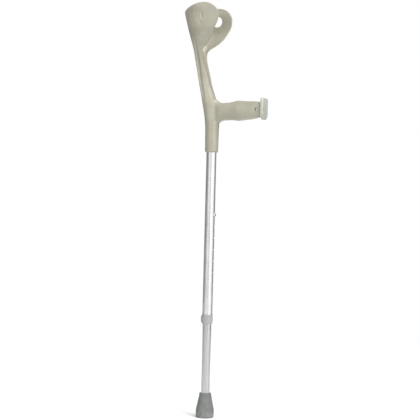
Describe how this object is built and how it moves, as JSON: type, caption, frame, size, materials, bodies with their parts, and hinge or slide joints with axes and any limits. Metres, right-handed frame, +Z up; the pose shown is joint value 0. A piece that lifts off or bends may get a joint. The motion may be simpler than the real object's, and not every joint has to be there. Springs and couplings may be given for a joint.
{
  "type": "forearm crutch",
  "caption": "Forearm crutch with a one-piece cuff and hand grip on a two-tube aluminium shaft, snap-button height setting and rubber tip.",
  "frame": {"origin": "centre of the rubber tip's ground face", "axes": "+Z up along the shaft, +X from the shaft towards the end of the hand grip, +Y to the user's left when the grip points forward"},
  "size_m": [0.1893, 0.098, 0.908],
  "materials": {
    "beige_plastic": "semi-gloss moulded polypropylene, warm grey-beige",
    "pale_plastic": "smooth moulded plastic, pale grey-cream",
    "rivet_metal": "bright aluminium rivet",
    "tube_aluminium": "satin anodised drawn tube",
    "grey_plastic": "neutral grey moulded plastic",
    "spring_steel": "plain spring steel",
    "button_steel": "polished plated steel",
    "tip_rubber": "matt grey rubber"
  },
  "bodies": {
    "upper": {"cuff_handle_moulding": "beige_plastic", "handle_end_cap": "pale_plastic", "socket_rivet": "rivet_metal", "upper_tube": "tube_aluminium", "guide_collar": "grey_plastic"},
    "leg": {"lower_tube": "tube_aluminium", "leg_glide_cap": "grey_plastic", "button_spring": "spring_steel", "ferrule": "tip_rubber", "ferrule_washer": "spring_steel"},
    "button": {"snap_button": "button_steel"}
  },
  "joints": [
    {"name": "leg_slide", "type": "slide", "parent": "leg", "child": "upper", "axis": [0, 0, 1], "range_m": [0, 0.15]},
    {"name": "button_press", "type": "slide", "parent": "leg", "child": "button", "axis": [-1, 0, 0], "range_m": [0, 0.0037], "stiffness_N_per_m": 2500, "springref_m": -0.002, "deforming": ["button_spring"]}
  ]
}
